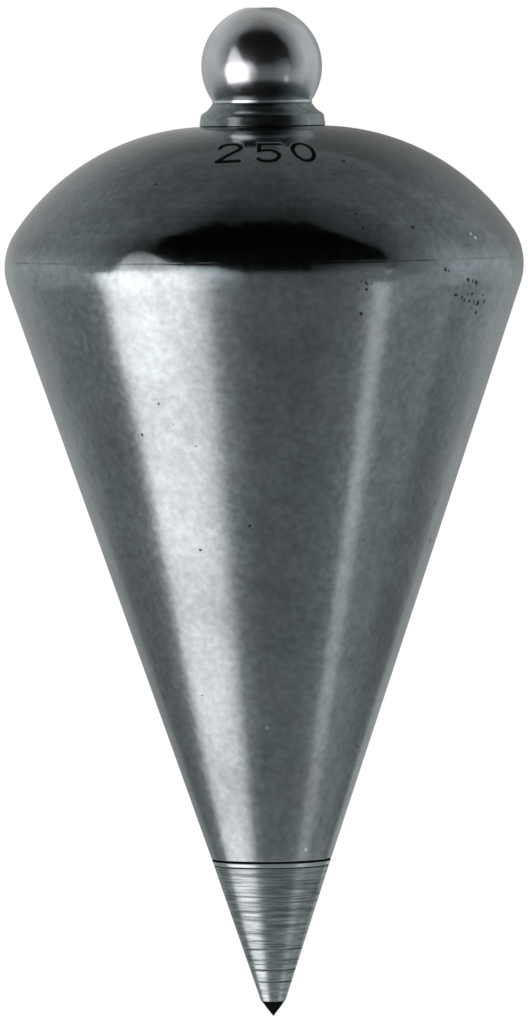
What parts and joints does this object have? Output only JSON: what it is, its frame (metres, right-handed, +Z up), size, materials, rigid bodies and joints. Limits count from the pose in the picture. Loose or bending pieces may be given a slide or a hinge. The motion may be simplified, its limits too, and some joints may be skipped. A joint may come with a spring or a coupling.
{
  "type": "plummet",
  "caption": "Turned steel plumb bob: a long cone with a crowned top, a round head bored for a cord and a fine hardened tip. It hangs point down and marks a vertical line.",
  "frame": {"origin": "centre of the cord hole's mouth, in the flat facet on top of the ball head", "axes": "+Z up along the axis of the turned body, against the pull of gravity; the number on the crown faces -Y"},
  "size_m": [0.039, 0.039, 0.0759],
  "materials": {
    "polished_steel": "polished ball, plain turned stud",
    "dull_steel": "dull turned",
    "satin_steel": "satin, faintly mottled and pitted",
    "turned_steel": "turned, with open tool marks",
    "blackened_steel": "hardened and blackened"
  },
  "bodies": {
    "head": {"head": "polished_steel"},
    "collar": {"collar": "dull_steel"},
    "bob": {"bob_body": "satin_steel"},
    "tip": {"tip": "turned_steel", "point": "blackened_steel"}
  },
  "joints": [
    {"name": "bob_drop", "type": "slide", "parent": "head", "child": "collar", "axis": [0, 0, -1], "range_m": [0, 0.007]},
    {"name": "bob_turn", "type": "hinge", "parent": "collar", "child": "bob", "pos_m": [0, 0, -0.00889], "axis": [0, 0, -1], "range_deg": [0, 2520]},
    {"name": "tip_unscrew", "type": "slide", "parent": "bob", "child": "tip", "axis": [0, 0, -1], "range_m": [0, 0.0072]}
  ],
  "couplings": [
    {"joint": "bob_turn", "follows": "bob_drop", "rad_per_m": 6283.2}
  ]
}
